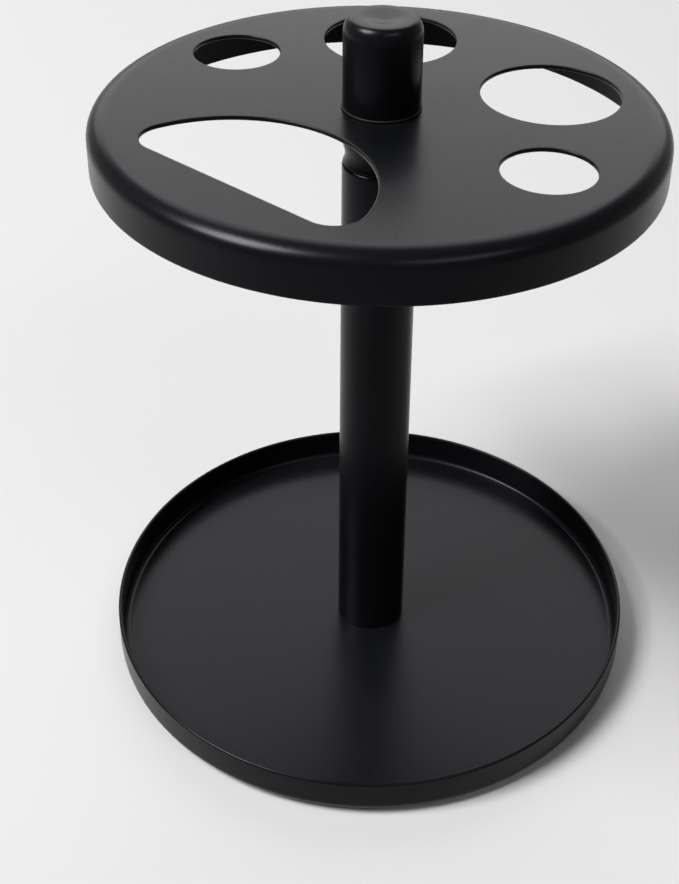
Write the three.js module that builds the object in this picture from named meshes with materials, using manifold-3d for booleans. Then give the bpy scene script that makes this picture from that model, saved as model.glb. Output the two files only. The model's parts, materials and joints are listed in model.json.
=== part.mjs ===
// A round holder stand for slim tools: a drip tray, a post and a lift-off head.
// The head is a pierced top plate on a necked collar, held down by a screw-on knob.
// Millimetres, +Z up. The origin is on the table, on the axis of the post.
// The half-round opening faces -Y, and the model is mirrored about the YZ plane.

import * as THREE from 'three';
import { mergeVertices } from 'three/addons/utils/BufferGeometryUtils.js';
import Module from 'manifold-3d';

const wasm = await Module();
wasm.setup();

// ---------------------------------------------------------------- sizes

// the whole stand
const plateTopHeight = 132; // from the table to the top of the plate
const sheet = 0.9; // thickness of the pressed steel of tray and plate

// clearances
const seatGap = 0.1; // between faces that rest on each other
const pressGap = 0.08; // around a piece that is pressed or screwed into another
const slideGap = 0.15; // around a piece that slides out of another
const swivelGap = 0.2; // around the stud, where the head turns on it

// drip tray and what holds it to the post
const padThickness = 0.8;
const padInset = 5.5; // from the tray's wall to the pad's outer edge
const padInnerMargin = 3; // from the recess for the screw to the pad's inner edge
const trayRadius = 58.5;
const trayRimHeight = 8.2;
const trayCornerRadius = 2.3;
const bossHeight = 1.8; // the tray's middle is pressed up inside the tube
const screwRadius = 2.5;
const screwHeadInset = 0.4; // inside the washer's edge
const screwHeadThickness = 1.3;
const screwSocketWidth = 3;
const screwSocketDepth = 0.8;
const screwReach = 9; // thread inside the foot plug
const washerThickness = 0.6;
const washerGap = 0.3; // around the washer in its recess
const footPlugLength = 14;

// post
const postRadius = 7.6;
const tubeWall = 1;
const tubeTopRound = 0.9;

// head: collar, plug and stud
const collarHeight = 10.5; // from the tube's mouth to the plate
const neckDepth = 0.6; // how far the collar's waist is drawn in
const neckHeight = 5; // of the drawn-in part
const plugLength = 22; // inside the tube
const plugLead = 1.2; // chamfer that guides the plug into the tube
const studRadius = 3;
const studInPlug = 16;

// top plate
const plateRadius = 56;
const plateRimDepth = 9.8;
const plateCornerRadius = 3.2;
const smallHoleRadius = 8.85;
const smallHoleMargin = 8.15; // from the hole to the plate's edge
const smallHoleAngles = [0, 180];
const largeHoleRadius = 13.95;
const largeHoleMargin = 7.85;
const largeHoleAngles = [53, 127];
const halfRoundMargin = 14.1; // from the straight edge to the plate's edge
const halfRoundWeb = 7.8; // from the top of the curve to the post's surface
const halfRoundCornerRadius = 5.7;

// knob
const knobRadius = 7.6;
const knobHeight = 17.7;
const knobShoulderRadius = 1.5;
const knobFootRound = 0.3;
const knobTopFlat = 1.1; // from the shoulder to the dish
const knobDishDepth = 0.6;
const knobWasherThickness = 0.4;
const knobWasherOverhang = 0.2;
const knobWall = 2.8;
const insertLength = 9;
const studInKnob = 8; // thread inside the insert
const knobCavityRoom = 3; // above the insert, for the end of the stud

// facets
const roundSegments = 80;
const postSegments = 40;
const hiddenSegments = 24;
const holeSegments = 40;
const cornerSteps = 4;
const lipSteps = 2;
const cutterOverrun = 2;

// ---------------------------------------------------------------- heights

const trayBottom = padThickness;
const trayFloorTop = trayBottom + sheet;
const bossTop = trayFloorTop + bossHeight;
const recessTop = trayBottom + bossHeight;
const tubeBottom = trayFloorTop + seatGap;
const plateUnderside = plateTopHeight - sheet;
const collarTop = plateUnderside - seatGap;
const collarBottom = collarTop - collarHeight;
const tubeTop = collarBottom - seatGap;
const plugTop = tubeTop;
const knobWasherBottom = plateTopHeight + seatGap;
const knobBottom = knobWasherBottom + knobWasherThickness + seatGap;

// radii that follow from their neighbours
const tubeBore = postRadius - tubeWall;
const bossRadius = tubeBore - slideGap;
const recessRadius = bossRadius - sheet;
const screwHoleRadius = screwRadius + swivelGap;
const washerRadius = recessRadius - washerGap;
const screwHeadRadius = washerRadius - screwHeadInset;
const padOuterRadius = trayRadius - padInset;
const padInnerRadius = recessRadius + padInnerMargin;
const plugRadius = tubeBore - slideGap;
const studHoleRadius = studRadius + swivelGap;
const smallHoleDistance = plateRadius - smallHoleMargin - smallHoleRadius;
const largeHoleDistance = plateRadius - largeHoleMargin - largeHoleRadius;
const halfRoundEdgeDistance = plateRadius - halfRoundMargin;
const halfRoundRadius = halfRoundEdgeDistance - postRadius - halfRoundWeb;
const knobDishRadius = knobRadius - knobShoulderRadius - knobTopFlat;
const knobCavityRadius = knobRadius - knobWall;
const insertRadius = knobCavityRadius - pressGap;

// ---------------------------------------------------------------- helpers

const point = (r, z) => new THREE.Vector2(r, z);
const radians = THREE.MathUtils.degToRad;

/** Points along an arc of a profile, from one angle to another, in degrees. */
function arc(r, z, radius, from, to, steps = cornerSteps) {
  const points = [];
  for (let i = 0; i <= steps; i += 1) {
    const angle = radians(from + ((to - from) * i) / steps);
    points.push(point(r + radius * Math.cos(angle), z + radius * Math.sin(angle)));
  }
  return points;
}

/** Turns a profile of (radius, height) points about the post's axis. */
function turned(profile, segments = hiddenSegments) {
  const geometry = new THREE.LatheGeometry(profile, segments);
  geometry.rotateX(Math.PI / 2);
  return geometry;
}

/** A ring's profile is closed by going back to its first point. */
const closed = (profile) => [...profile, profile[0].clone()];

/** A plain ring, such as a washer. */
function ring(inner, outer, bottom, top, segments = hiddenSegments) {
  const profile = [point(inner, bottom), point(outer, bottom), point(outer, top), point(inner, top)];
  return turned(closed(profile), segments);
}

/** A geometry with shared vertices and without the empty triangles at its poles. */
function welded(geometry) {
  const bare = new THREE.BufferGeometry();
  bare.setAttribute('position', geometry.getAttribute('position'));
  bare.setIndex(geometry.getIndex());
  const merged = mergeVertices(bare, 1e-4);
  const corners = merged.getIndex().array;
  const kept = [];
  for (let i = 0; i < corners.length; i += 3) {
    const [a, b, c] = corners.slice(i, i + 3);
    if (a !== b && b !== c && c !== a) kept.push(a, b, c);
  }
  merged.setIndex(kept);
  return merged;
}

function toSolid(geometry) {
  const merged = welded(geometry);
  return new wasm.Manifold(new wasm.Mesh({
    numProp: 3,
    vertProperties: Float32Array.from(merged.getAttribute('position').array),
    triVerts: Uint32Array.from(merged.getIndex().array),
  }));
}

function toGeometry(solid) {
  const mesh = solid.getMesh();
  const geometry = new THREE.BufferGeometry();
  geometry.setAttribute('position', new THREE.BufferAttribute(mesh.vertProperties, 3));
  geometry.setIndex(new THREE.BufferAttribute(mesh.triVerts, 1));
  geometry.computeVertexNormals();
  return geometry;
}

/** Takes each cutter away from a geometry. */
function cut(geometry, cutters) {
  let solid = toSolid(geometry);
  for (const cutter of cutters) solid = solid.subtract(toSolid(cutter));
  return toGeometry(solid);
}

/** An upright round cutter or rod. */
function rod(radius, bottom, top, segments = hiddenSegments) {
  const geometry = new THREE.CylinderGeometry(radius, radius, top - bottom, segments);
  geometry.rotateX(Math.PI / 2);
  geometry.translate(0, 0, (bottom + top) / 2);
  return geometry;
}

/** An outline in the XY plane, raised from one height to another. */
function prism(shape, bottom, top) {
  const geometry = new THREE.ExtrudeGeometry(shape, {
    depth: top - bottom,
    bevelEnabled: false,
    curveSegments: holeSegments / 2,
  });
  geometry.translate(0, 0, bottom);
  return geometry;
}

// ---------------------------------------------------------------- materials

const finish = (color, roughness, metalness) => () =>
  new THREE.MeshStandardMaterial({ color, roughness, metalness });

const blackCoat = finish(0x1c1d1f, 0.48, 0.25);
const zincSteel = finish(0x9a9da0, 0.35, 0.9);
const brass = finish(0xb08d4a, 0.35, 0.9);
const nylon = finish(0x1a1a1a, 0.6, 0);
const foam = finish(0x141414, 0.95, 0);

// ---------------------------------------------------------------- drip tray

/** A shallow pressed dish. Its middle is pushed up, to centre the tube and hide the screw's head. */
function trayGeometry() {
  const corner = trayRadius - trayCornerRadius;
  const cornerHeight = trayBottom + trayCornerRadius;
  const lip = trayBottom + trayRimHeight - sheet / 2;
  const profile = [
    point(screwHoleRadius, recessTop),
    point(recessRadius, recessTop),
    point(recessRadius, trayBottom),
    ...arc(corner, cornerHeight, trayCornerRadius, -90, 0),
    ...arc(trayRadius - sheet / 2, lip, sheet / 2, 0, 180, lipSteps),
    ...arc(corner, cornerHeight, trayCornerRadius - sheet, 0, -90),
    point(bossRadius, trayFloorTop),
    point(bossRadius, bossTop),
    point(screwHoleRadius, bossTop),
  ];
  return turned(closed(profile), roundSegments);
}

/** The foam ring that the stand rests on. */
const padGeometry = () => ring(padInnerRadius, padOuterRadius, 0, trayBottom - seatGap, roundSegments);

const washerTop = recessTop - seatGap;
const screwHeadTop = washerTop - washerThickness - seatGap;

const baseWasherGeometry = () =>
  ring(screwHoleRadius, washerRadius, washerTop - washerThickness, washerTop);

/** A low-headed screw with a hexagonal socket, driven from below. */
function screwGeometry() {
  const headBottom = screwHeadTop - screwHeadThickness;
  const tip = bossTop + seatGap + screwReach;
  const profile = [
    point(0, headBottom),
    point(screwHeadRadius, headBottom),
    point(screwHeadRadius, screwHeadTop),
    point(screwRadius, screwHeadTop),
    point(screwRadius, tip - screwRadius / 2),
    point(screwRadius / 2, tip),
    point(0, tip),
  ];
  const socketRadius = screwSocketWidth / Math.sqrt(3);
  const socket = rod(socketRadius, headBottom - cutterOverrun, headBottom + screwSocketDepth, 6);
  return cut(turned(profile), [socket]);
}

/** The threaded plug in the foot of the tube. */
function footPlugGeometry() {
  const bottom = bossTop + seatGap;
  return ring(screwRadius + pressGap, tubeBore - pressGap, bottom, bottom + footPlugLength);
}

// ---------------------------------------------------------------- post

function tubeGeometry() {
  const profile = [
    point(tubeBore, tubeBottom),
    point(postRadius, tubeBottom),
    ...arc(postRadius - tubeTopRound, tubeTop - tubeTopRound, tubeTopRound, 0, 90),
    point(tubeBore, tubeTop),
  ];
  return turned(closed(profile), postSegments);
}

// ---------------------------------------------------------------- head

/** The plug that drops into the tube and carries the stud. */
function headPlugGeometry() {
  const bottom = plugTop - plugLength;
  const bore = studRadius + pressGap;
  const profile = [
    point(bore, bottom),
    point(plugRadius - plugLead, bottom),
    point(plugRadius, bottom + plugLead),
    point(plugRadius, plugTop),
    point(bore, plugTop),
  ];
  return turned(closed(profile));
}

const studBottom = plugTop - studInPlug;
const studTop = knobBottom + seatGap + studInKnob;

/** The stud holds plug, collar, plate and knob on one axis. */
const studGeometry = () => rod(studRadius, studBottom, studTop);

/** The collar under the plate, drawn in to a neck just above the tube. */
function collarGeometry() {
  const neckTop = collarBottom + neckHeight;
  const waist = [];
  const steps = 7;
  for (let i = 0; i <= steps; i += 1) {
    const t = i / steps;
    const drawnIn = neckDepth * (1 + Math.cos(Math.PI * t ** 1.5)) / 2;
    waist.push(point(postRadius - drawnIn, collarBottom + (neckTop - collarBottom) * t));
  }
  const profile = [
    point(studHoleRadius, collarBottom),
    ...waist,
    point(postRadius, collarTop),
    point(studHoleRadius, collarTop),
  ];
  return turned(closed(profile), postSegments);
}

/** The outline of the half-round opening: a half disc with rounded corners. */
function halfRoundShape() {
  const inset = halfRoundRadius - halfRoundCornerRadius;
  const cornerX = Math.sqrt(inset ** 2 - halfRoundCornerRadius ** 2);
  const cornerY = halfRoundCornerRadius - halfRoundEdgeDistance;
  const meet = Math.asin(halfRoundCornerRadius / inset);
  const shape = new THREE.Shape();
  shape.absarc(cornerX, cornerY, halfRoundCornerRadius, -Math.PI / 2, meet, false);
  shape.absarc(0, -halfRoundEdgeDistance, halfRoundRadius, meet, Math.PI - meet, false);
  shape.absarc(-cornerX, cornerY, halfRoundCornerRadius, Math.PI - meet, 1.5 * Math.PI, false);
  return shape;
}

/** The pressed plate with its turned-down rim and its five openings. */
function plateGeometry() {
  const corner = plateRadius - plateCornerRadius;
  const cornerHeight = plateTopHeight - plateCornerRadius;
  const lip = plateTopHeight - plateRimDepth + sheet / 2;
  const profile = [
    point(studHoleRadius, plateUnderside),
    ...arc(corner, cornerHeight, plateCornerRadius - sheet, 90, 0),
    ...arc(plateRadius - sheet / 2, lip, sheet / 2, 180, 360, lipSteps),
    ...arc(corner, cornerHeight, plateCornerRadius, 0, 90),
    point(studHoleRadius, plateTopHeight),
  ];
  const low = plateUnderside - cutterOverrun;
  const high = plateTopHeight + cutterOverrun;
  const cutters = [prism(halfRoundShape(), low, high)];
  const roundHoles = [
    [smallHoleAngles, smallHoleRadius, smallHoleDistance],
    [largeHoleAngles, largeHoleRadius, largeHoleDistance],
  ];
  for (const [angles, radius, distance] of roundHoles) {
    for (const angle of angles) {
      const hole = rod(radius, low, high, holeSegments);
      hole.translate(distance * Math.cos(radians(angle)), distance * Math.sin(radians(angle)), 0);
      cutters.push(hole);
    }
  }
  return cut(turned(closed(profile), roundSegments), cutters);
}

// ---------------------------------------------------------------- knob

const knobWasherGeometry = () => ring(
  studHoleRadius,
  knobRadius + knobWasherOverhang,
  knobWasherBottom,
  knobWasherBottom + knobWasherThickness,
  postSegments,
);

/** The cap of the knob, hollow from below, with a shallow dish in its top. */
function knobGeometry() {
  const top = knobBottom + knobHeight;
  const cavityTop = knobBottom + insertLength + knobCavityRoom;
  const shoulder = knobRadius - knobShoulderRadius;
  const dish = [];
  const steps = 6;
  for (let i = 0; i <= steps; i += 1) {
    const t = 1 - i / steps;
    const depth = knobDishDepth * (1 + Math.cos(Math.PI * t)) / 2;
    dish.push(point(knobDishRadius * t, top - depth));
  }
  const profile = [
    point(0, cavityTop),
    point(knobCavityRadius, cavityTop),
    point(knobCavityRadius, knobBottom),
    ...arc(knobRadius - knobFootRound, knobBottom + knobFootRound, knobFootRound, -90, 0, 2),
    ...arc(shoulder, top - knobShoulderRadius, knobShoulderRadius, 0, 90),
    ...dish,
  ];
  return turned(profile, postSegments);
}

/** The threaded insert pressed into the knob. */
const insertGeometry = () => ring(
  studRadius + pressGap,
  insertRadius,
  knobBottom + seatGap,
  knobBottom + seatGap + insertLength,
);

// ---------------------------------------------------------------- assembly

const stand = new THREE.Group();

function place(name, geometry, material) {
  const mesh = new THREE.Mesh(geometry, material());
  mesh.name = name;
  stand.add(mesh);
}

place('base_pad', padGeometry(), foam);
place('base_tray', trayGeometry(), blackCoat);
place('base_washer', baseWasherGeometry(), zincSteel);
place('base_screw', screwGeometry(), zincSteel);
place('foot_plug', footPlugGeometry(), zincSteel);
place('post_tube', tubeGeometry(), blackCoat);
place('head_plug', headPlugGeometry(), zincSteel);
place('stud', studGeometry(), zincSteel);
place('neck_collar', collarGeometry(), blackCoat);
place('top_plate', plateGeometry(), blackCoat);
place('knob_washer', knobWasherGeometry(), nylon);
place('knob_insert', insertGeometry(), brass);
place('knob', knobGeometry(), blackCoat);

export default stand;
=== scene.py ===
# %% [markdown]
# # A round holder stand in satin black steel
#
# The stand is a pressed drip tray, a steel post and a lift-off head. The head is a pierced
# top plate on a necked collar, and a screw-on knob holds it down. Slim tools hang in the
# holes, and the tray catches what drips from them.
#
# Almost every piece was made on a lathe or pressed between round dies, so one rule draws
# them all: a profile is turned about the post's axis. Geometry Nodes hold that rule. The
# plate is the exception. It is round too, but its five openings are not on the axis, so it
# is built ring by ring in mesh code.
#
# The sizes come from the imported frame. Only what the frame's boxes can't tell, such as the
# thickness of the sheet or the radius of a bend, is a named value here.

# %% The frame
import json
import math

import bmesh
import bpy
from mathutils import Euler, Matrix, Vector


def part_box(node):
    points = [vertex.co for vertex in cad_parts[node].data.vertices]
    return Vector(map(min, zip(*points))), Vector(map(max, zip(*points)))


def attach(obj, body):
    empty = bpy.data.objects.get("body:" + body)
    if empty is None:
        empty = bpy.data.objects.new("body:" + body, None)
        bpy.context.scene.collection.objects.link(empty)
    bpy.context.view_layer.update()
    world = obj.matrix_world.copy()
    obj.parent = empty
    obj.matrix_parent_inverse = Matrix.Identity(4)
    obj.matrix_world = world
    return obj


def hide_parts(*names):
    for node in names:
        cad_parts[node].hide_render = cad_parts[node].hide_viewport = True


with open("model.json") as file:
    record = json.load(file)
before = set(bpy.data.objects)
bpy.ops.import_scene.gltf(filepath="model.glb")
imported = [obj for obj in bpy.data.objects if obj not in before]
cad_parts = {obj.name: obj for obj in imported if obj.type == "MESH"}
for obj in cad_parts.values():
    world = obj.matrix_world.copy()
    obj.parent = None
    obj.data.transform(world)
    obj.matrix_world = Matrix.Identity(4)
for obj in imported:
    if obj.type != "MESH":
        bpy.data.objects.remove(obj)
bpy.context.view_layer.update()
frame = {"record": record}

MM = 0.001


# %% [markdown]
# ## Reading sizes off the frame
#
# A round node's box gives its outer radius and its two heights. The openings in the record
# are the largest boxes that fit in the plate's holes, with a small margin, so each round
# hole's centre and radius follow from its box.

# %% Sizes
def radius(node):
    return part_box(node)[1].x


def bottom(node):
    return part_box(node)[0].z


def top(node):
    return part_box(node)[1].z


def opening(name):
    """The lowest and highest corner of an opening that the record states."""
    found = [o for o in frame["record"]["physics"]["openings"] if o["name"] == name]
    low, high = found[0]["box_m"]
    return Vector(low), Vector(high)


OPENING_MARGIN = 0.3 * MM


def round_hole(name):
    """Centre and radius of the round hole that an opening's square box stands in."""
    low, high = opening(name)
    half_side = (high.x - low.x) / 2 + OPENING_MARGIN
    return (low + high) / 2, half_side * math.sqrt(2)


sheet = 0.9 * MM
tube_wall = 1.0 * MM
seat_gap = 0.1 * MM
slide_gap = 0.15 * MM
swivel_gap = 0.2 * MM
press_gap = 0.08 * MM
thread_radius = radius("stud")
screw_radius = 2.5 * MM
thread_depth = 0.5 * MM
stud_pitch = 1.0 * MM
tube_bore = radius("post_tube") - tube_wall
stud_hole = thread_radius + swivel_gap

plate_radius = radius("top_plate")
plate_top = top("top_plate")
print(f"tray {2 * radius('base_tray') / MM:.1f} mm, plate {2 * plate_radius / MM:.1f} mm across")


# %% [markdown]
# ## The camera
#
# The stand is seen from the front right and from above, from about a third of a metre away.
# At that distance the plate, which is nearer, looks larger than the tray below it. The
# frame is cut a little off the lens's centre, which the camera's shift does here.

# %% Camera
camera_place = Vector((164.4, -198.7, 252.5)) * MM
camera_turn = Euler([math.radians(a) for a in (58.44, -1.62, 39.46)], "XYZ")

camera_data = bpy.data.cameras.new("camera")
camera_data.sensor_width = 36
camera_data.lens = 60
camera_data.shift_x = -0.0716
camera_data.shift_y = -0.1887
camera_data.clip_start = 0.01
camera = bpy.data.objects.new("camera", camera_data)
camera.location = camera_place
camera.rotation_euler = camera_turn
bpy.context.scene.collection.objects.link(camera)
bpy.context.scene.camera = camera
bpy.context.scene.view_settings.view_transform = "Standard"
print("camera", tuple(round(c, 3) for c in camera_place))


# %% [markdown]
# ## The floor and the light
#
# Black satin shows almost nothing of its own colour. What the eye reads is the light that it
# mirrors, so the light is planned as a set of reflections. Two wide soft boxes behind the
# stand lie in the upward faces, a small bright one at the front left draws the line on the
# rim's bend, and a weak one at the right answers it. Overhead it stays dark, which is what
# gives each bend its crisp dark crease. The sky is pale at the horizon, as the paper sweep
# of a studio is, and darker above.
#
# Each box is placed by its direction from the stand and by the angle that it covers, because
# those two decide what a mirror-like surface shows. The distance only has to be large, so
# that the light falls evenly on the floor.

# %% Studio
FLOOR_SIZE = 60.0
FLOOR_TONE = (0.21, 0.21, 0.21)
BOX_DISTANCE = 3.0
AIM = Vector((0, 0, 90 * MM))


def soft_box(name, azimuth, elevation, width, height, radiance):
    """A light whose direction and size are in degrees, and whose brightness is a radiance."""
    turn_z = math.radians(azimuth)
    lift = math.radians(elevation)
    level = math.cos(lift)
    away = Vector((math.cos(turn_z) * level, math.sin(turn_z) * level, math.sin(lift)))
    data = bpy.data.lights.new(name, "AREA")
    data.shape = "RECTANGLE"
    data.size = 2 * BOX_DISTANCE * math.tan(math.radians(width) / 2)
    data.size_y = 2 * BOX_DISTANCE * math.tan(math.radians(height) / 2)
    data.energy = radiance * math.pi * data.size * data.size_y
    light = bpy.data.objects.new(name, data)
    light.location = AIM + BOX_DISTANCE * away
    light.rotation_euler = (-away).to_track_quat("-Z", "Y").to_euler()
    light.visible_camera = False
    bpy.context.scene.collection.objects.link(light)
    print(f"{name}: {data.size:.2f} by {data.size_y:.2f} m, {data.energy:.0f} W")


def studio_world(horizon, zenith, zenith_height):
    """A sky that goes from one grey at the horizon to a darker one at a given height."""
    world = bpy.data.worlds.new("studio")
    world.use_nodes = True
    tree = world.node_tree
    direction = tree.nodes.new("ShaderNodeTexCoord")
    split = tree.nodes.new("ShaderNodeSeparateXYZ")
    ramp = tree.nodes.new("ShaderNodeMapRange")
    ramp.interpolation_type = "SMOOTHSTEP"
    ramp.inputs["From Max"].default_value = zenith_height
    ramp.inputs["To Min"].default_value = horizon
    ramp.inputs["To Max"].default_value = zenith
    tree.links.new(direction.outputs["Generated"], split.inputs["Vector"])
    tree.links.new(split.outputs["Z"], ramp.inputs["Value"])
    background = tree.nodes["Background"]
    background.inputs["Color"].default_value = (0.97, 0.98, 1.0, 1)
    tree.links.new(ramp.outputs["Result"], background.inputs["Strength"])
    bpy.context.scene.world = world


def floor_material():
    material = bpy.data.materials.new("pale_floor")
    material.use_nodes = True
    shader = material.node_tree.nodes["Principled BSDF"]
    shader.inputs["Base Color"].default_value = (*FLOOR_TONE, 1)
    shader.inputs["Roughness"].default_value = 0.7
    shader.inputs["Specular IOR Level"].default_value = 0.2
    return material


def floor():
    mesh = bpy.data.meshes.new("floor")
    half = FLOOR_SIZE / 2
    corners = [(-half, -half, 0), (half, -half, 0), (half, half, 0), (-half, half, 0)]
    mesh.from_pydata(corners, [], [(0, 1, 2, 3)])
    mesh.materials.append(floor_material())
    ground = bpy.data.objects.new("floor", mesh)
    bpy.context.scene.collection.objects.link(ground)


# name, azimuth, elevation, width, height, radiance
SOFT_BOXES = [
    ("low_box", 130, 21, 66, 22, 1.65),
    ("high_box", 130, 48, 52, 28, 4.4),
    ("key_box", -120, 52, 22, 24, 78),
    ("right_box", -15, 47, 30, 14, 9),
]

floor()
studio_world(horizon=0.5, zenith=0.10, zenith_height=0.7)
for box in SOFT_BOXES:
    soft_box(*box)


# %% [markdown]
# ## Finishes: one effect, one node group
#
# Effects that several finishes share are node groups with named inputs. Each gives out only
# heights or values. The Principled shader stays in the material itself, where its constants
# are set once and for all.

# %% Node group helper
def effect(name, inputs, outputs):
    """An empty shader group with float sockets, a Vector input and its two end nodes."""
    group = bpy.data.node_groups.new(name, "ShaderNodeTree")
    group.interface.new_socket("Vector", in_out="INPUT", socket_type="NodeSocketVector")
    for label, value in inputs.items():
        socket = group.interface.new_socket(label, in_out="INPUT", socket_type="NodeSocketFloat")
        socket.default_value = value
    for label in outputs:
        group.interface.new_socket(label, in_out="OUTPUT", socket_type="NodeSocketFloat")
    entry = group.nodes.new("NodeGroupInput")
    leave = group.nodes.new("NodeGroupOutput")
    return group, entry, leave


def noise(group, vector, scale, detail, roughness=0.5):
    """A noise texture, with its scale set to a number or linked to a socket."""
    node = group.nodes.new("ShaderNodeTexNoise")
    node.inputs["Detail"].default_value = detail
    node.inputs["Roughness"].default_value = roughness
    group.links.new(vector, node.inputs["Vector"])
    feed(group, scale, node.inputs["Scale"])
    return node.outputs["Fac"]


def feed(group, source, socket):
    """Links a socket to another socket, or sets it to a number."""
    if isinstance(source, bpy.types.NodeSocket):
        group.links.new(source, socket)
    else:
        socket.default_value = source


def calculate(group, operation, *values):
    node = group.nodes.new("ShaderNodeMath")
    node.operation = operation
    for value, socket in zip(values, node.inputs):
        feed(group, value, socket)
    return node.outputs["Value"]


# %% [markdown]
# ### Powder grain
#
# Powder coat melts into a skin with two scales of relief: a slow swell about a millimetre
# wide, called orange peel, and a much finer grain left by single specks of powder.

# %% Powder grain group
def powder_grain_group():
    inputs = {"Peel Scale": 700, "Grain Scale": 3200, "Grain Share": 0.35}
    group, entry, leave = effect("powder_grain", inputs, ["Height"])
    peel = noise(group, entry.outputs["Vector"], entry.outputs["Peel Scale"], 1)
    grain = noise(group, entry.outputs["Vector"], entry.outputs["Grain Scale"], 2, 0.6)
    weighted = calculate(group, "MULTIPLY", grain, entry.outputs["Grain Share"])
    group.links.new(calculate(group, "ADD", peel, weighted), leave.inputs["Height"])
    return group


powder_grain = powder_grain_group()


# %% [markdown]
# ### Uneven gloss
#
# No finish is equally smooth everywhere. Wiping, handling and the coat's own thickness leave
# soft patches a centimetre or two across, with finer streaks inside them. The group turns
# that into a roughness that wanders about a middle value.

# %% Uneven gloss group
def uneven_gloss_group():
    inputs = {"Patch Scale": 55, "Middle": 0.4, "Spread": 0.08}
    group, entry, leave = effect("uneven_gloss", inputs, ["Roughness", "Patch"])
    patch = noise(group, entry.outputs["Vector"], entry.outputs["Patch Scale"], 4, 0.6)
    centred = calculate(group, "SUBTRACT", patch, 0.5)
    swing = calculate(group, "MULTIPLY", centred, entry.outputs["Spread"])
    rough = calculate(group, "ADD", swing, entry.outputs["Middle"])
    group.links.new(rough, leave.inputs["Roughness"])
    group.links.new(patch, leave.inputs["Patch"])
    return group


uneven_gloss = uneven_gloss_group()


# %% [markdown]
# ### Turning marks
#
# A lathe tool leaves fine grooves that run round the axis. Their height depends only on how
# far a point is from the axis and how high it is, so the group reads noise at that pair of
# numbers and the grooves close on themselves by rule.

# %% Turning marks group
def turning_marks_group():
    group, entry, leave = effect("turning_marks", {"Groove Scale": 9000}, ["Height"])
    split = group.nodes.new("ShaderNodeSeparateXYZ")
    join = group.nodes.new("ShaderNodeCombineXYZ")
    group.links.new(entry.outputs["Vector"], split.inputs["Vector"])
    x_squared = calculate(group, "MULTIPLY", split.outputs["X"], split.outputs["X"])
    y_squared = calculate(group, "MULTIPLY", split.outputs["Y"], split.outputs["Y"])
    distance = calculate(group, "SQRT", calculate(group, "ADD", x_squared, y_squared))
    group.links.new(distance, join.inputs["X"])
    group.links.new(split.outputs["Z"], join.inputs["Z"])
    grooves = noise(group, join.outputs["Vector"], entry.outputs["Groove Scale"], 3, 0.7)
    group.links.new(grooves, leave.inputs["Height"])
    return group


turning_marks = turning_marks_group()


# %% [markdown]
# ## The materials
#
# Each material is one Principled shader. A small helper places it, an Object coordinate
# node and a Bump node, and each finish then adds its own groups.

# %% Material helpers
def blank_material(name, color, constants, bump_distance):
    """A material with its shader's constants set, and its coordinates and bump in place."""
    material = bpy.data.materials.new(name)
    material.use_nodes = True
    tree = material.node_tree
    shader = tree.nodes["Principled BSDF"]
    shader.inputs["Base Color"].default_value = (*color, 1)
    for label, value in constants.items():
        shader.inputs[label].default_value = value
    place = tree.nodes.new("ShaderNodeTexCoord")
    bump = tree.nodes.new("ShaderNodeBump")
    bump.inputs["Strength"].default_value = 1.0
    bump.inputs["Distance"].default_value = bump_distance
    tree.links.new(bump.outputs["Normal"], shader.inputs["Normal"])
    return material, tree, shader, place.outputs["Object"], bump.inputs["Height"]


def add_effect(tree, group, vector, **values):
    """Places a group in a material. Underscores in a value's name stand for spaces."""
    node = tree.nodes.new("ShaderNodeGroup")
    node.node_tree = group
    tree.links.new(vector, node.inputs["Vector"])
    for label, value in values.items():
        node.inputs[label.replace("_", " ")].default_value = value
    return node


def blend_colors(tree, mask, low, high):
    """A colour that goes from low to high as the mask goes from 0.3 to 0.7."""
    ramp = tree.nodes.new("ShaderNodeValToRGB")
    ramp.color_ramp.elements[0].position = 0.3
    ramp.color_ramp.elements[0].color = (*low, 1)
    ramp.color_ramp.elements[1].position = 0.7
    ramp.color_ramp.elements[1].color = (*high, 1)
    tree.links.new(mask, ramp.inputs["Fac"])
    return ramp.outputs["Color"]


# %% [markdown]
# ### Satin black powder coat
#
# The coat is only half glossy: its roughness spreads each reflection into a soft sheen. A low
# index of refraction and a dark specular tint keep the upright walls dark beside the pale
# floor. Under this scene's strong lights the base colour is set darker than real paint, so
# it may have to be raised where the light is weaker.

# %% Powder coat
COAT_LOW = (0.0011, 0.0012, 0.0014)
COAT_HIGH = (0.0017, 0.0018, 0.0022)
COAT_RELIEF = 0.006 * MM


def powder_coat():
    constants = {"IOR": 1.25, "Specular Tint": (0.30, 0.30, 0.34, 1)}
    material, tree, shader, vector, height = blank_material(
        "black_coat", COAT_HIGH, constants, COAT_RELIEF)
    grain = add_effect(tree, powder_grain, vector, Grain_Share=0.4)
    gloss = add_effect(tree, uneven_gloss, vector, Middle=0.28, Spread=0.10)
    tree.links.new(grain.outputs["Height"], height)
    tree.links.new(gloss.outputs["Roughness"], shader.inputs["Roughness"])
    color = blend_colors(tree, gloss.outputs["Patch"], COAT_LOW, COAT_HIGH)
    tree.links.new(color, shader.inputs["Base Color"])
    return material


black_coat = powder_coat()


# %% [markdown]
# ### Turned metals
#
# Zinc-plated steel is a cool grey and brass a warm yellow. Both are metals, so their colour
# tints the reflection, and the grooves of the lathe break it into fine rings.

# %% Metals
GROOVE_DEPTH = 0.004 * MM


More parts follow.
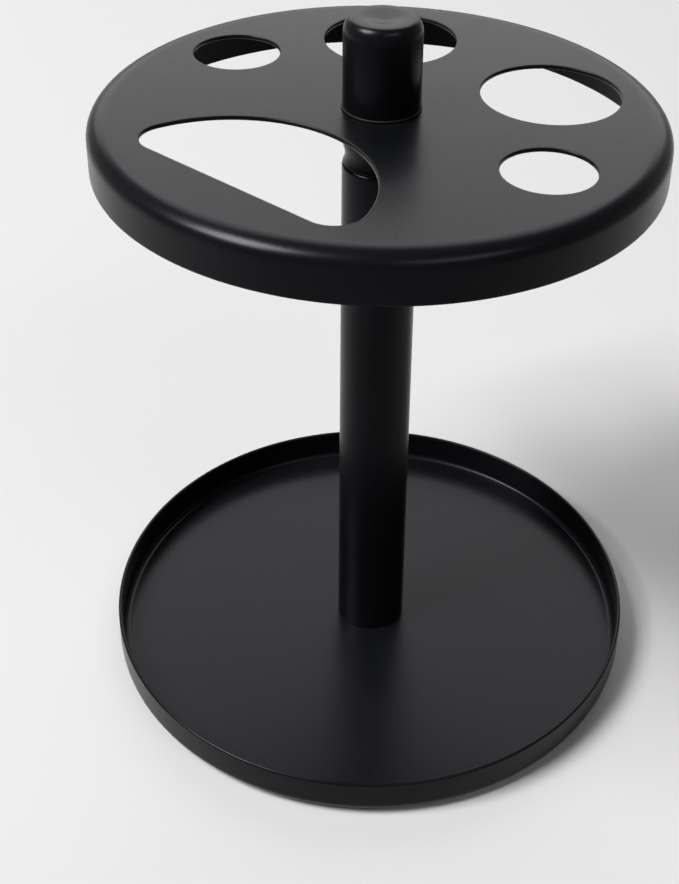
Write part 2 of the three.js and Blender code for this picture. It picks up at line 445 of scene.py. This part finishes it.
def turned_metal(name, low, high, middle):
    material, tree, shader, vector, height = blank_material(
        name, high, {"Metallic": 1.0}, GROOVE_DEPTH)
    marks = add_effect(tree, turning_marks, vector)
    gloss = add_effect(tree, uneven_gloss, vector, Patch_Scale=160, Middle=middle, Spread=0.25)
    tree.links.new(marks.outputs["Height"], height)
    tree.links.new(gloss.outputs["Roughness"], shader.inputs["Roughness"])
    color = blend_colors(tree, gloss.outputs["Patch"], low, high)
    tree.links.new(color, shader.inputs["Base Color"])
    return material


zinc_steel = turned_metal("zinc_steel", (0.46, 0.48, 0.51), (0.60, 0.61, 0.62), 0.32)
brass = turned_metal("brass", (0.52, 0.34, 0.12), (0.72, 0.52, 0.24), 0.28)


# %% [markdown]
# ### Nylon and foam
#
# The washer under the knob is plain black nylon, a little waxy. The pad under the tray is
# foam rubber, whose open cells are a coarse relief on a surface with no gloss at all.

# %% Nylon and foam
def plain_black(name, tone, middle, bump_distance, peel_scale):
    material, tree, shader, vector, height = blank_material(
        name, (tone, tone, tone), {"Specular IOR Level": 0.15}, bump_distance)
    scales = {"Peel_Scale": peel_scale, "Grain_Scale": 3 * peel_scale}
    grain = add_effect(tree, powder_grain, vector, **scales)
    gloss = add_effect(tree, uneven_gloss, vector, Middle=middle, Spread=0.1)
    tree.links.new(grain.outputs["Height"], height)
    tree.links.new(gloss.outputs["Roughness"], shader.inputs["Roughness"])
    return material


nylon = plain_black("nylon", tone=0.002, middle=0.6, bump_distance=0.003 * MM, peel_scale=1500)
foam = plain_black("foam", tone=0.010, middle=0.85, bump_distance=0.15 * MM, peel_scale=1100)


# %% [markdown]
# ## Turning a profile
#
# A profile is a short list of corners, each with its distance from the axis, its height and
# the radius of its round. The Geometry Nodes tree rounds every corner by its own radius,
# then sweeps the profile round a circle, which is what a lathe does. Poles close when their
# points are merged. The curve could also be spun in mesh code, but a tree keeps the number
# of segments and the rounding open to change on every piece at once.

# %% Turned piece tree
SWEEP_RADIUS = 20 * MM
WELD = 0.0005 * MM


def geometry_tree(name, sockets):
    """A modifier tree with a geometry input and output, and the named inputs given."""
    tree = bpy.data.node_groups.new(name, "GeometryNodeTree")
    tree.interface.new_socket("Geometry", in_out="INPUT", socket_type="NodeSocketGeometry")
    for label, kind in sockets.items():
        tree.interface.new_socket(label, in_out="INPUT", socket_type=kind)
    tree.interface.new_socket("Geometry", in_out="OUTPUT", socket_type="NodeSocketGeometry")
    return tree, tree.nodes.new("NodeGroupInput"), tree.nodes.new("NodeGroupOutput")


def chain(tree, *steps):
    """Links the first output of each node to the first input of the next."""
    for before, after in zip(steps, steps[1:]):
        tree.links.new(before.outputs[0], after.inputs[0])


def turned_tree():
    sockets = {
        "Segments": "NodeSocketInt",
        "Round Steps": "NodeSocketInt",
        "Material": "NodeSocketMaterial",
    }
    tree, entry, leave = geometry_tree("turned_piece", sockets)
    to_curve = tree.nodes.new("GeometryNodeMeshToCurve")
    corner_round = tree.nodes.new("GeometryNodeInputNamedAttribute")
    corner_round.data_type = "FLOAT"
    corner_round.inputs["Name"].default_value = "round"
    fillet = tree.nodes.new("GeometryNodeFilletCurve")
    fillet.mode = "POLY"
    fillet.inputs["Limit Radius"].default_value = True
    shift = tree.nodes.new("GeometryNodeTransform")
    shift.inputs["Translation"].default_value = (-SWEEP_RADIUS, 0, 0)
    shift.inputs["Rotation"].default_value = (math.pi, 0, 0)
    circle = tree.nodes.new("GeometryNodeCurvePrimitiveCircle")
    circle.inputs["Radius"].default_value = SWEEP_RADIUS
    sweep = tree.nodes.new("GeometryNodeCurveToMesh")
    weld = tree.nodes.new("GeometryNodeMergeByDistance")
    weld.inputs["Distance"].default_value = WELD
    flip = tree.nodes.new("GeometryNodeFlipFaces")
    smooth = tree.nodes.new("GeometryNodeSetShadeSmooth")
    real = tree.nodes.new("GeometryNodeRealizeInstances")
    paint = tree.nodes.new("GeometryNodeSetMaterial")
    chain(tree, entry, to_curve, fillet, shift)
    tree.links.new(corner_round.outputs["Attribute"], fillet.inputs["Radius"])
    tree.links.new(entry.outputs["Round Steps"], fillet.inputs["Count"])
    tree.links.new(entry.outputs["Segments"], circle.inputs["Resolution"])
    tree.links.new(circle.outputs[0], sweep.inputs["Curve"])
    tree.links.new(shift.outputs[0], sweep.inputs["Profile Curve"])
    chain(tree, sweep, weld, flip, smooth, real, paint, leave)
    tree.links.new(entry.outputs["Material"], paint.inputs["Material"])
    return tree


turned_piece = turned_tree()


# %% [markdown]
# ## From modifier to mesh
#
# A tree's inputs are set by each socket's identifier. Weighted normals come after the trees:
# they let the large flat faces keep their true direction, so only the rounds bend the light.
# The finished shape is then read off the evaluated object as a plain mesh.

# %% Modifier helpers
def add_tree(piece, tree, values):
    """Adds a Geometry Nodes modifier and sets its named inputs."""
    modifier = piece.modifiers.new(tree.name, "NODES")
    modifier.node_group = tree
    for item in tree.interface.items_tree:
        if item.in_out == "INPUT" and item.name in values:
            modifier[item.identifier] = values[item.name]


def freeze(piece):
    """Weights a piece's normals and turns it and its modifiers into one plain mesh."""
    weighted = piece.modifiers.new("weighted", "WEIGHTED_NORMAL")
    weighted.keep_sharp = True
    bpy.context.view_layer.update()
    graph = bpy.context.evaluated_depsgraph_get()
    mesh = bpy.data.meshes.new_from_object(
        piece.evaluated_get(graph), preserve_all_data_layers=True, depsgraph=graph)
    piece.modifiers.clear()
    piece.data = mesh
    mesh.name = piece.name


def new_object(name, mesh):
    piece = bpy.data.objects.new(name, mesh)
    bpy.context.scene.collection.objects.link(piece)
    return piece


def profile_mesh(name, corners):
    """A profile as a line of points. It closes on itself unless both ends are on the axis."""
    on_axis = corners[0][0] == 0 and corners[-1][0] == 0
    count = len(corners)
    links = [(i, (i + 1) % count) for i in range(count - 1 if on_axis else count)]
    mesh = bpy.data.meshes.new(name)
    mesh.from_pydata([(r, z, 0) for r, z, _ in corners], links, [])
    rounds = mesh.attributes.new("round", "FLOAT", "POINT")
    for item, corner in zip(rounds.data, corners):
        item.value = corner[2]
    return mesh


def turn(name, corners, material, segments, steps, thread=None):
    """A turned piece, from corners of (distance from the axis, height, round)."""
    piece = new_object(name, profile_mesh(name, corners))
    values = {"Segments": segments, "Round Steps": steps, "Material": material}
    add_tree(piece, turned_piece, values)
    if thread:
        add_tree(piece, screw_thread, {**thread, "Material": material})
    freeze(piece)
    print(f"{name}: {len(piece.data.polygons)} faces")
    return piece


def quarter(center, size, start, stop, steps, stretch=1.0):
    """Points of an arc in a profile of (distance, height), with angles in degrees.

    The size is the arc's radius along the height. The stretch scales its radius along the
    distance, so any value but 1 makes it an ellipse.
    """
    points = []
    for i in range(steps + 1):
        angle = math.radians(start + (stop - start) * i / steps)
        distance = center[0] + size * stretch * math.cos(angle)
        points.append((distance, center[1] + size * math.sin(angle)))
    return points


def belongs(piece, body, slot, *nodes):
    """The piece moves with a body and stands for CAD nodes, which it hides. The slot is not
    used.
    """
    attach(piece, body)
    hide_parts(*nodes)


# %% [markdown]
# ## The drip tray
#
# The real tray is one disc of sheet steel, drawn into a shallow dish. Its wall is upright,
# the bend at its foot is rounded inside and out, and its lip has the full round of a cut
# edge under thick paint. The middle is pushed up, which centres the tube on the tray and
# leaves room below for the screw's head.

# %% Drip tray
def drip_tray():
    outer = radius("base_tray")
    low = bottom("base_tray")
    high = top("base_tray")
    boss_radius = tube_bore - slide_gap
    boss_top = bottom("foot_plug") - seat_gap
    recess_radius = boss_radius - sheet
    recess_top = boss_top - sheet
    screw_hole = screw_radius + swivel_gap
    bend = 2.3 * MM
    lip = 0.499 * sheet
    fine = 0.15 * MM
    corners = [
        (screw_hole, recess_top, fine),
        (recess_radius, recess_top, 2 * fine),
        (recess_radius, low, 4 * fine),
        (outer, low, bend),
        (outer, high, lip),
        (outer - sheet, high, lip),
        (outer - sheet, low + sheet, bend - sheet),
        (boss_radius, low + sheet, 2 * fine),
        (boss_radius, boss_top, 3 * fine),
        (screw_hole, boss_top, fine),
    ]
    tray = turn("drip_tray", corners, black_coat, segments=288, steps=8)
    belongs(tray, "stand", "black_coat", "base_tray")


drip_tray()


# %% [markdown]
# ## The pad, the washer and the foot plug
#
# Three plain rings. The pad and the washer are seen only from below, and the plug is hidden
# in the tube's foot. A small round on each edge catches the light as a real edge does.

# %% Plain rings
def ring(name, node, inner, edge, material, slot, body, segments=128):
    """A ring between an inner radius and its node's outer one, with its edges rounded."""
    low = bottom(node)
    high = top(node)
    outer = radius(node)
    corners = [(inner, low, edge), (outer, low, edge), (outer, high, edge), (inner, high, edge)]
    piece = turn(name, corners, material, segments, steps=4)
    belongs(piece, body, slot, node)


pad_margin = 3 * MM
pad_inner = tube_bore - slide_gap - sheet + pad_margin
washer_inner = screw_radius + swivel_gap
foot_bore = screw_radius + press_gap
ring("foam_pad", "base_pad", pad_inner, 0.2 * MM, foam, "foam", "stand", 256)
ring("steel_washer", "base_washer", washer_inner, 0.1 * MM, zinc_steel, "zinc_steel", "stand")
ring("foot_insert", "foot_plug", foot_bore, 0.5 * MM, zinc_steel, "zinc_steel", "stand")


# %% [markdown]
# ## The post
#
# The post is a length of steel tube. Its foot is cut square and its mouth is rounded over,
# so a thin bright arc shows where it meets the neck of the collar.

# %% Post
def post():
    outer = radius("post_tube")
    low = bottom("post_tube")
    high = top("post_tube")
    corners = [
        (tube_bore, low, 0.2 * MM),
        (outer, low, 0.15 * MM),
        (outer, high, 0.9 * MM),
        (tube_bore, high, 0.05 * MM),
    ]
    tube = turn("post", corners, black_coat, segments=160, steps=8)
    belongs(tube, "stand", "black_coat", "post_tube")


post()


# %% [markdown]
# ## The collar
#
# The collar carries the plate. Just above the tube it is drawn in to a smooth waist, which
# follows most of one half wave of a sine. It nearly comes back to the width of the tube at
# the joint, and a skew puts its narrowest place below the middle.

# %% Collar
def collar():
    outer = radius("neck_collar")
    low = bottom("neck_collar")
    high = top("neck_collar")
    waist_depth = 0.6 * MM
    waist_height = 5 * MM
    wave_share = 0.93
    wave_skew = 1.4
    steps = 24
    waist = []
    for i in range(steps + 1):
        t = i / steps
        drawn_in = waist_depth * math.sin(math.pi * (wave_share * (1 - t)) ** wave_skew)
        waist.append((outer - drawn_in, low + waist_height * t, 0))
    soft = 0.1 * MM
    corners = [(stud_hole, low, soft), *waist, (outer, high, soft), (stud_hole, high, soft)]
    piece = turn("neck_collar_turned", corners, black_coat, segments=160, steps=4)
    belongs(piece, "head", "black_coat", "neck_collar")


collar()


# %% [markdown]
# ## A rolled thread
#
# A rolled thread is a ridge that climbs round its core by one pitch a turn. The tree takes
# the core as its geometry, runs a spiral curve up it and sweeps a small pointed section
# along that spiral. The section stands square to the axis because the spiral's normals are
# held level.

# %% Thread tree
THREAD_TURN_POINTS = 40
SECTION_SHARE = 0.55
SECTION_CORNERS = 6


def thread_tree():
    sockets = {
        "Radius": "NodeSocketFloat",
        "Pitch": "NodeSocketFloat",
        "Bottom": "NodeSocketFloat",
        "Length": "NodeSocketFloat",
        "Material": "NodeSocketMaterial",
    }
    tree, entry, leave = geometry_tree("screw_thread", sockets)
    turns = tree.nodes.new("ShaderNodeMath")
    turns.operation = "DIVIDE"
    section_radius = tree.nodes.new("ShaderNodeMath")
    section_radius.operation = "MULTIPLY"
    section_radius.inputs[1].default_value = SECTION_SHARE
    line_radius = tree.nodes.new("ShaderNodeMath")
    line_radius.operation = "SUBTRACT"
    spiral = tree.nodes.new("GeometryNodeCurveSpiral")
    spiral.inputs["Resolution"].default_value = THREAD_TURN_POINTS
    level = tree.nodes.new("GeometryNodeSetCurveNormal")
    level.mode = "Z_UP"
    section = tree.nodes.new("GeometryNodeCurvePrimitiveCircle")
    section.inputs["Resolution"].default_value = SECTION_CORNERS
    sweep = tree.nodes.new("GeometryNodeCurveToMesh")
    sweep.inputs["Fill Caps"].default_value = True
    lift = tree.nodes.new("ShaderNodeCombineXYZ")
    move = tree.nodes.new("GeometryNodeTransform")
    smooth = tree.nodes.new("GeometryNodeSetShadeSmooth")
    join = tree.nodes.new("GeometryNodeJoinGeometry")
    real = tree.nodes.new("GeometryNodeRealizeInstances")
    paint = tree.nodes.new("GeometryNodeSetMaterial")
    tree.links.new(entry.outputs["Length"], turns.inputs[0])
    tree.links.new(entry.outputs["Pitch"], turns.inputs[1])
    tree.links.new(entry.outputs["Pitch"], section_radius.inputs[0])
    tree.links.new(entry.outputs["Radius"], line_radius.inputs[0])
    tree.links.new(section_radius.outputs[0], line_radius.inputs[1])
    tree.links.new(turns.outputs[0], spiral.inputs["Rotations"])
    tree.links.new(line_radius.outputs[0], spiral.inputs["Start Radius"])
    tree.links.new(line_radius.outputs[0], spiral.inputs["End Radius"])
    tree.links.new(entry.outputs["Length"], spiral.inputs["Height"])
    tree.links.new(section_radius.outputs[0], section.inputs["Radius"])
    tree.links.new(entry.outputs["Bottom"], lift.inputs["Z"])
    chain(tree, spiral, level, sweep, move, smooth, join)
    tree.links.new(section.outputs[0], sweep.inputs["Profile Curve"])
    tree.links.new(lift.outputs[0], move.inputs["Translation"])
    tree.links.new(entry.outputs["Geometry"], join.inputs[0])
    chain(tree, join, real, paint, leave)
    tree.links.new(entry.outputs["Material"], paint.inputs["Material"])
    return tree


screw_thread = thread_tree()


# %% [markdown]
# ## The stud
#
# The stud ties plug, collar, plate and knob together. It shows when the knob is screwed up.

# %% Stud
def stud():
    low = bottom("stud")
    high = top("stud")
    core = thread_radius - thread_depth
    chamfer = 0.6 * MM
    corners = [(0, low, 0), (core, low, chamfer), (core, high, chamfer), (0, high, 0)]
    thread = {
        "Radius": thread_radius,
        "Pitch": stud_pitch,
        "Bottom": low + stud_pitch,
        "Length": high - low - 2 * stud_pitch,
    }
    piece = turn("threaded_stud", corners, zinc_steel, segments=48, steps=3, thread=thread)
    belongs(piece, "plug", "zinc_steel", "stud")


stud()


# %% [markdown]
# ## The plug of the head
#
# The plug slides into the tube and keeps the head upright. A chamfer guides it in.

# %% Head plug
def head_plug():
    low = bottom("head_plug")
    high = top("head_plug")
    outer = radius("head_plug")
    lead = 1.2 * MM
    bore = thread_radius + press_gap
    soft = 0.2 * MM
    corners = [
        (bore, low, soft),
        (outer - lead, low, soft),
        (outer, low + lead, soft),
        (outer, high, soft),
        (bore, high, soft),
    ]
    piece = turn("plug", corners, zinc_steel, segments=128, steps=4)
    belongs(piece, "plug", "zinc_steel", "head_plug")


head_plug()


# %% [markdown]
# ## The knob
#
# The knob is a turned cap: a straight side, a soft shoulder that is a quarter of an ellipse, a
# narrow flat and a shallow dish that a fingertip settles in. The dish follows a cosine. Below
# it the cap is hollow, with a brass insert that runs on the stud, and a thin nylon washer
# saves the plate's paint.

# %% Knob
def knob():
    outer = radius("knob")
    low = bottom("knob")
    high = top("knob")
    shoulder = 1.9 * MM
    shoulder_height = 3.0 * MM
    flat = 0.8 * MM
    dish_radius = outer - shoulder - flat
    dish_depth = 0.6 * MM
    wall = 2.8 * MM
    cavity_depth = 12 * MM
    cavity_round = 0.5 * MM
    foot_round = 0.3 * MM
    cavity_top = low + cavity_depth
    steps = 20
    dish = []
    for i in range(steps + 1):
        t = 1 - i / steps
        dish.append((dish_radius * t, high - dish_depth * (1 + math.cos(math.pi * t)) / 2, 0))
    arc_center = (outer - shoulder, high - shoulder_height)
    arc = quarter(arc_center, shoulder_height, 0, 90, steps, shoulder / shoulder_height)
    corners = [
        (0, cavity_top, 0),
        (outer - wall, cavity_top, cavity_round),
        (outer - wall, low, foot_round),
        (outer, low, foot_round),
        *[(distance, z, 0) for distance, z in arc],
        *dish,
    ]
    piece = turn("turned_knob", corners, black_coat, segments=192, steps=12)
    belongs(piece, "knob", "black_coat", "knob")


knob()
insert_bore = thread_radius + press_gap
ring("brass_insert", "knob_insert", insert_bore, 0.4 * MM, brass, "brass", "knob", 96)
ring("nylon_washer", "knob_washer", stud_hole, 0.12 * MM, nylon, "nylon", "washer", 160)


# %% [markdown]
# ## The screw under the tray
#
# A low head with a hexagonal socket. Turning can't give the six flats, so the head is a
# stack of rings that all have the same number of points: the outer ones are circles, the
# inner ones hexagons, and each pair of neighbours is bridged by a strip of faces.

# %% Ring stacks
SCREW_POINTS = 72


def add_ring(mesh, outline, z):
    return [mesh.verts.new((x, y, z)) for x, y in outline]


def bridge(mesh, first, second):
    """Closes the strip between two rings of the same number of points."""
    count = len(first)
    for i in range(count):
        j = (i + 1) % count
        mesh.faces.new((first[i], first[j], second[j], second[i]))


def circle_outline(size, count, center=(0, 0)):
    angles = [2 * math.pi * i / count for i in range(count)]
    return [(center[0] + size * math.cos(a), center[1] + size * math.sin(a)) for a in angles]


def hexagon_outline(apothem, count):
    """A hexagon, sampled at the same angles as a circle."""
    outline = []
    for i in range(count):
        angle = 2 * math.pi * i / count
        from_flat = (angle + math.pi / 6) % (math.pi / 3) - math.pi / 6
        reach = apothem / math.cos(from_flat)
        outline.append((reach * math.cos(angle), reach * math.sin(angle)))
    return outline


def finish_mesh(mesh, name, material):
    """Turns built faces outwards, smooths them and hands them over as an object."""
    bmesh.ops.recalc_face_normals(mesh, faces=mesh.faces)
    for face in mesh.faces:
        face.smooth = True
    data = bpy.data.meshes.new(name)
    mesh.to_mesh(data)
    mesh.free()
    data.materials.append(material)
    return new_object(name, data)


# %% [markdown]
# The screw is built from the bottom of its socket outwards, over the head and up the core to
# the tip. The thread tree then winds its ridge round the core.

# %% Base screw
def base_screw():
    low = bottom("base_screw")
    high = top("base_screw")
    head = radius("base_screw")
    head_height = 1.3 * MM
    socket_depth = 0.8 * MM
    half_flats = 1.5 * MM
    soft = 0.15 * MM
    core_depth = 0.1 * MM
    core = screw_radius - core_depth
    pitch = 0.8 * MM
    thread_margin = 2 * MM
    rounds = [
        (head - soft, low), (head, low + soft),
        (head, low + head_height - soft), (head - soft, low + head_height),
        (core, low + head_height), (core, high - core / 2), (core / 2, high),
    ]
    mesh = bmesh.new()
    hexagon = hexagon_outline(half_flats, SCREW_POINTS)
    socket_floor = add_ring(mesh, hexagon, low + socket_depth)
    rings = [
        socket_floor,
        add_ring(mesh, hexagon, low + soft),
        add_ring(mesh, hexagon_outline(half_flats + soft, SCREW_POINTS), low),
    ]
    rings += [add_ring(mesh, circle_outline(size, SCREW_POINTS), z) for size, z in rounds]
    for first, second in zip(rings, rings[1:]):
        bridge(mesh, first, second)
    mesh.faces.new(socket_floor)
    mesh.faces.new(rings[-1])
    piece = finish_mesh(mesh, "socket_screw", zinc_steel)
    thread = {
        "Radius": screw_radius,
        "Pitch": pitch,
        "Bottom": low + head_height + thread_margin,
        "Length": high - low - head_height - 2 * thread_margin,
        "Material": zinc_steel,
    }
    add_tree(piece, screw_thread, thread)
    freeze(piece)
    belongs(piece, "stand", "zinc_steel", "base_screw")


base_screw()


# %% [markdown]
# ## The top plate
#
# The plate is pressed from the same sheet as the tray and turned over at its edge, with a
# soft bend. Two small round holes, two large ones and a half-round opening are punched
# through it. Thick powder coat rounds every punched edge, and those small rounds are what
# draws the thin bright lines round the holes.
#
# A boolean cut with a bevel would do, but it leaves uneven corners that show in a glossy
# surface. Here each edge is a stack of rings instead. A ring is the hole's outline pushed
# outwards by a small amount at a small depth, so every round is even, and the flat face
# between all the rings is filled in one go. One more ring just outside each round keeps
# the flat face truly flat where the light falls off.

# %% Outlines
HOLE_POINTS = 120
STUD_HOLE_POINTS = 48


def half_round_outline(grow):
    """The half-round opening with its corners rounded, pushed outwards by a distance."""
    corner = 5.7 * MM
    margin = 14.1 * MM
    web = 7.8 * MM
    edge = plate_radius - margin
    size = edge - radius("post_tube") - web
    inset = size - corner
    corner_x = math.sqrt(inset ** 2 - corner ** 2)
    meet = math.asin(corner / inset)
    arcs = [
        (corner_x, corner - edge, corner + grow, -math.pi / 2, meet, 24),
        (0, -edge, size + grow, meet, math.pi - meet, 96),
        (-corner_x, corner - edge, corner + grow, math.pi - meet, 1.5 * math.pi, 24),
    ]
    outline = []
    for x, y, reach, start, stop, steps in arcs:
        for i in range(steps):
            angle = start + (stop - start) * i / steps
            outline.append((x + reach * math.cos(angle), y + reach * math.sin(angle)))
    outline.append((x + reach * math.cos(stop), y + reach * math.sin(stop)))
    return outline


def plate_holes():
    """A function for each opening that gives its outline, pushed outwards by a distance."""
    holes = [half_round_outline]
    for name in ("small_hole_right", "small_hole_left", "large_hole_right", "large_hole_left"):
        center, size = round_hole(name)
        spot = (center.x, center.y)
        holes.append(lambda grow, c=spot, r=size: circle_outline(r + grow, HOLE_POINTS, c))
    holes.append(lambda grow: circle_outline(stud_hole + grow, STUD_HOLE_POINTS))
    print(f"{len(holes)} openings in the plate")
    return holes


# %% Plate profiles
FLAT_MARGIN = 0.35 * MM
PUNCHED_EDGE = 0.3 * MM
RIM_POINTS = 320


def edge_profile():
    """How far outwards and at what height each ring of a punched edge stands, from the top."""
    edge = PUNCHED_EDGE
    low = plate_top - sheet
    upper = quarter((edge, plate_top - edge), edge, 90, 180, 4)
    lower = quarter((edge, low + edge), edge, 180, 270, 4)
    return [(edge + FLAT_MARGIN, plate_top), *upper, *lower, (edge + FLAT_MARGIN, low)]


def rim_profile():
    """The turned-down rim, from the flat on top, round the bend and the lip, to the underside.

    The bend is a quarter of an ellipse that reaches further along the flat than down the wall.
    """
    bend = 3.2 * MM
    inner_bend = bend - sheet
    stretch = 1.4
    corner = plate_radius - stretch * bend
    inner_stretch = (plate_radius - sheet - corner) / inner_bend
    lip = sheet / 2
    low = bottom("top_plate")
    bend_height = plate_top - bend
    return [
        (corner - 2 * FLAT_MARGIN, plate_top),
        *quarter((corner, bend_height), bend, 90, 0, 16, stretch),
        (plate_radius, bend_height - 2 * FLAT_MARGIN),
        (plate_radius, low + lip + FLAT_MARGIN),
        *quarter((plate_radius - lip, low + lip), lip, 0, -180, 10),
        (plate_radius - sheet, low + lip + FLAT_MARGIN),
        *quarter((corner, bend_height), inner_bend, 0, 90, 12, inner_stretch),
        (corner - 2 * FLAT_MARGIN, plate_top - sheet),
    ]


# %% Top plate
def fill_between(mesh, rings):
    """Fills the flat face that lies inside the first ring and outside the others."""
    edges = []
    for ring_points in rings:
        for i, point in enumerate(ring_points):
            after = ring_points[(i + 1) % len(ring_points)]
            edges.append(mesh.edges.get((point, after)))
    bmesh.ops.triangle_fill(mesh, use_beauty=True, edges=edges)


def top_plate():
    mesh = bmesh.new()
    rim = [add_ring(mesh, circle_outline(size, RIM_POINTS), z) for size, z in rim_profile()]
    stacks = [rim]
    for hole in plate_holes():
        stacks.append([add_ring(mesh, hole(grow), z) for grow, z in edge_profile()])
    for stack in stacks:
        for first, second in zip(stack, stack[1:]):
            bridge(mesh, first, second)
    fill_between(mesh, [stack[0] for stack in stacks])
    fill_between(mesh, [stack[-1] for stack in stacks])
    piece = finish_mesh(mesh, "pierced_plate", black_coat)
    print(f"{piece.name}: {len(piece.data.polygons)} faces")
    belongs(piece, "head", "black_coat", "top_plate")


top_plate()
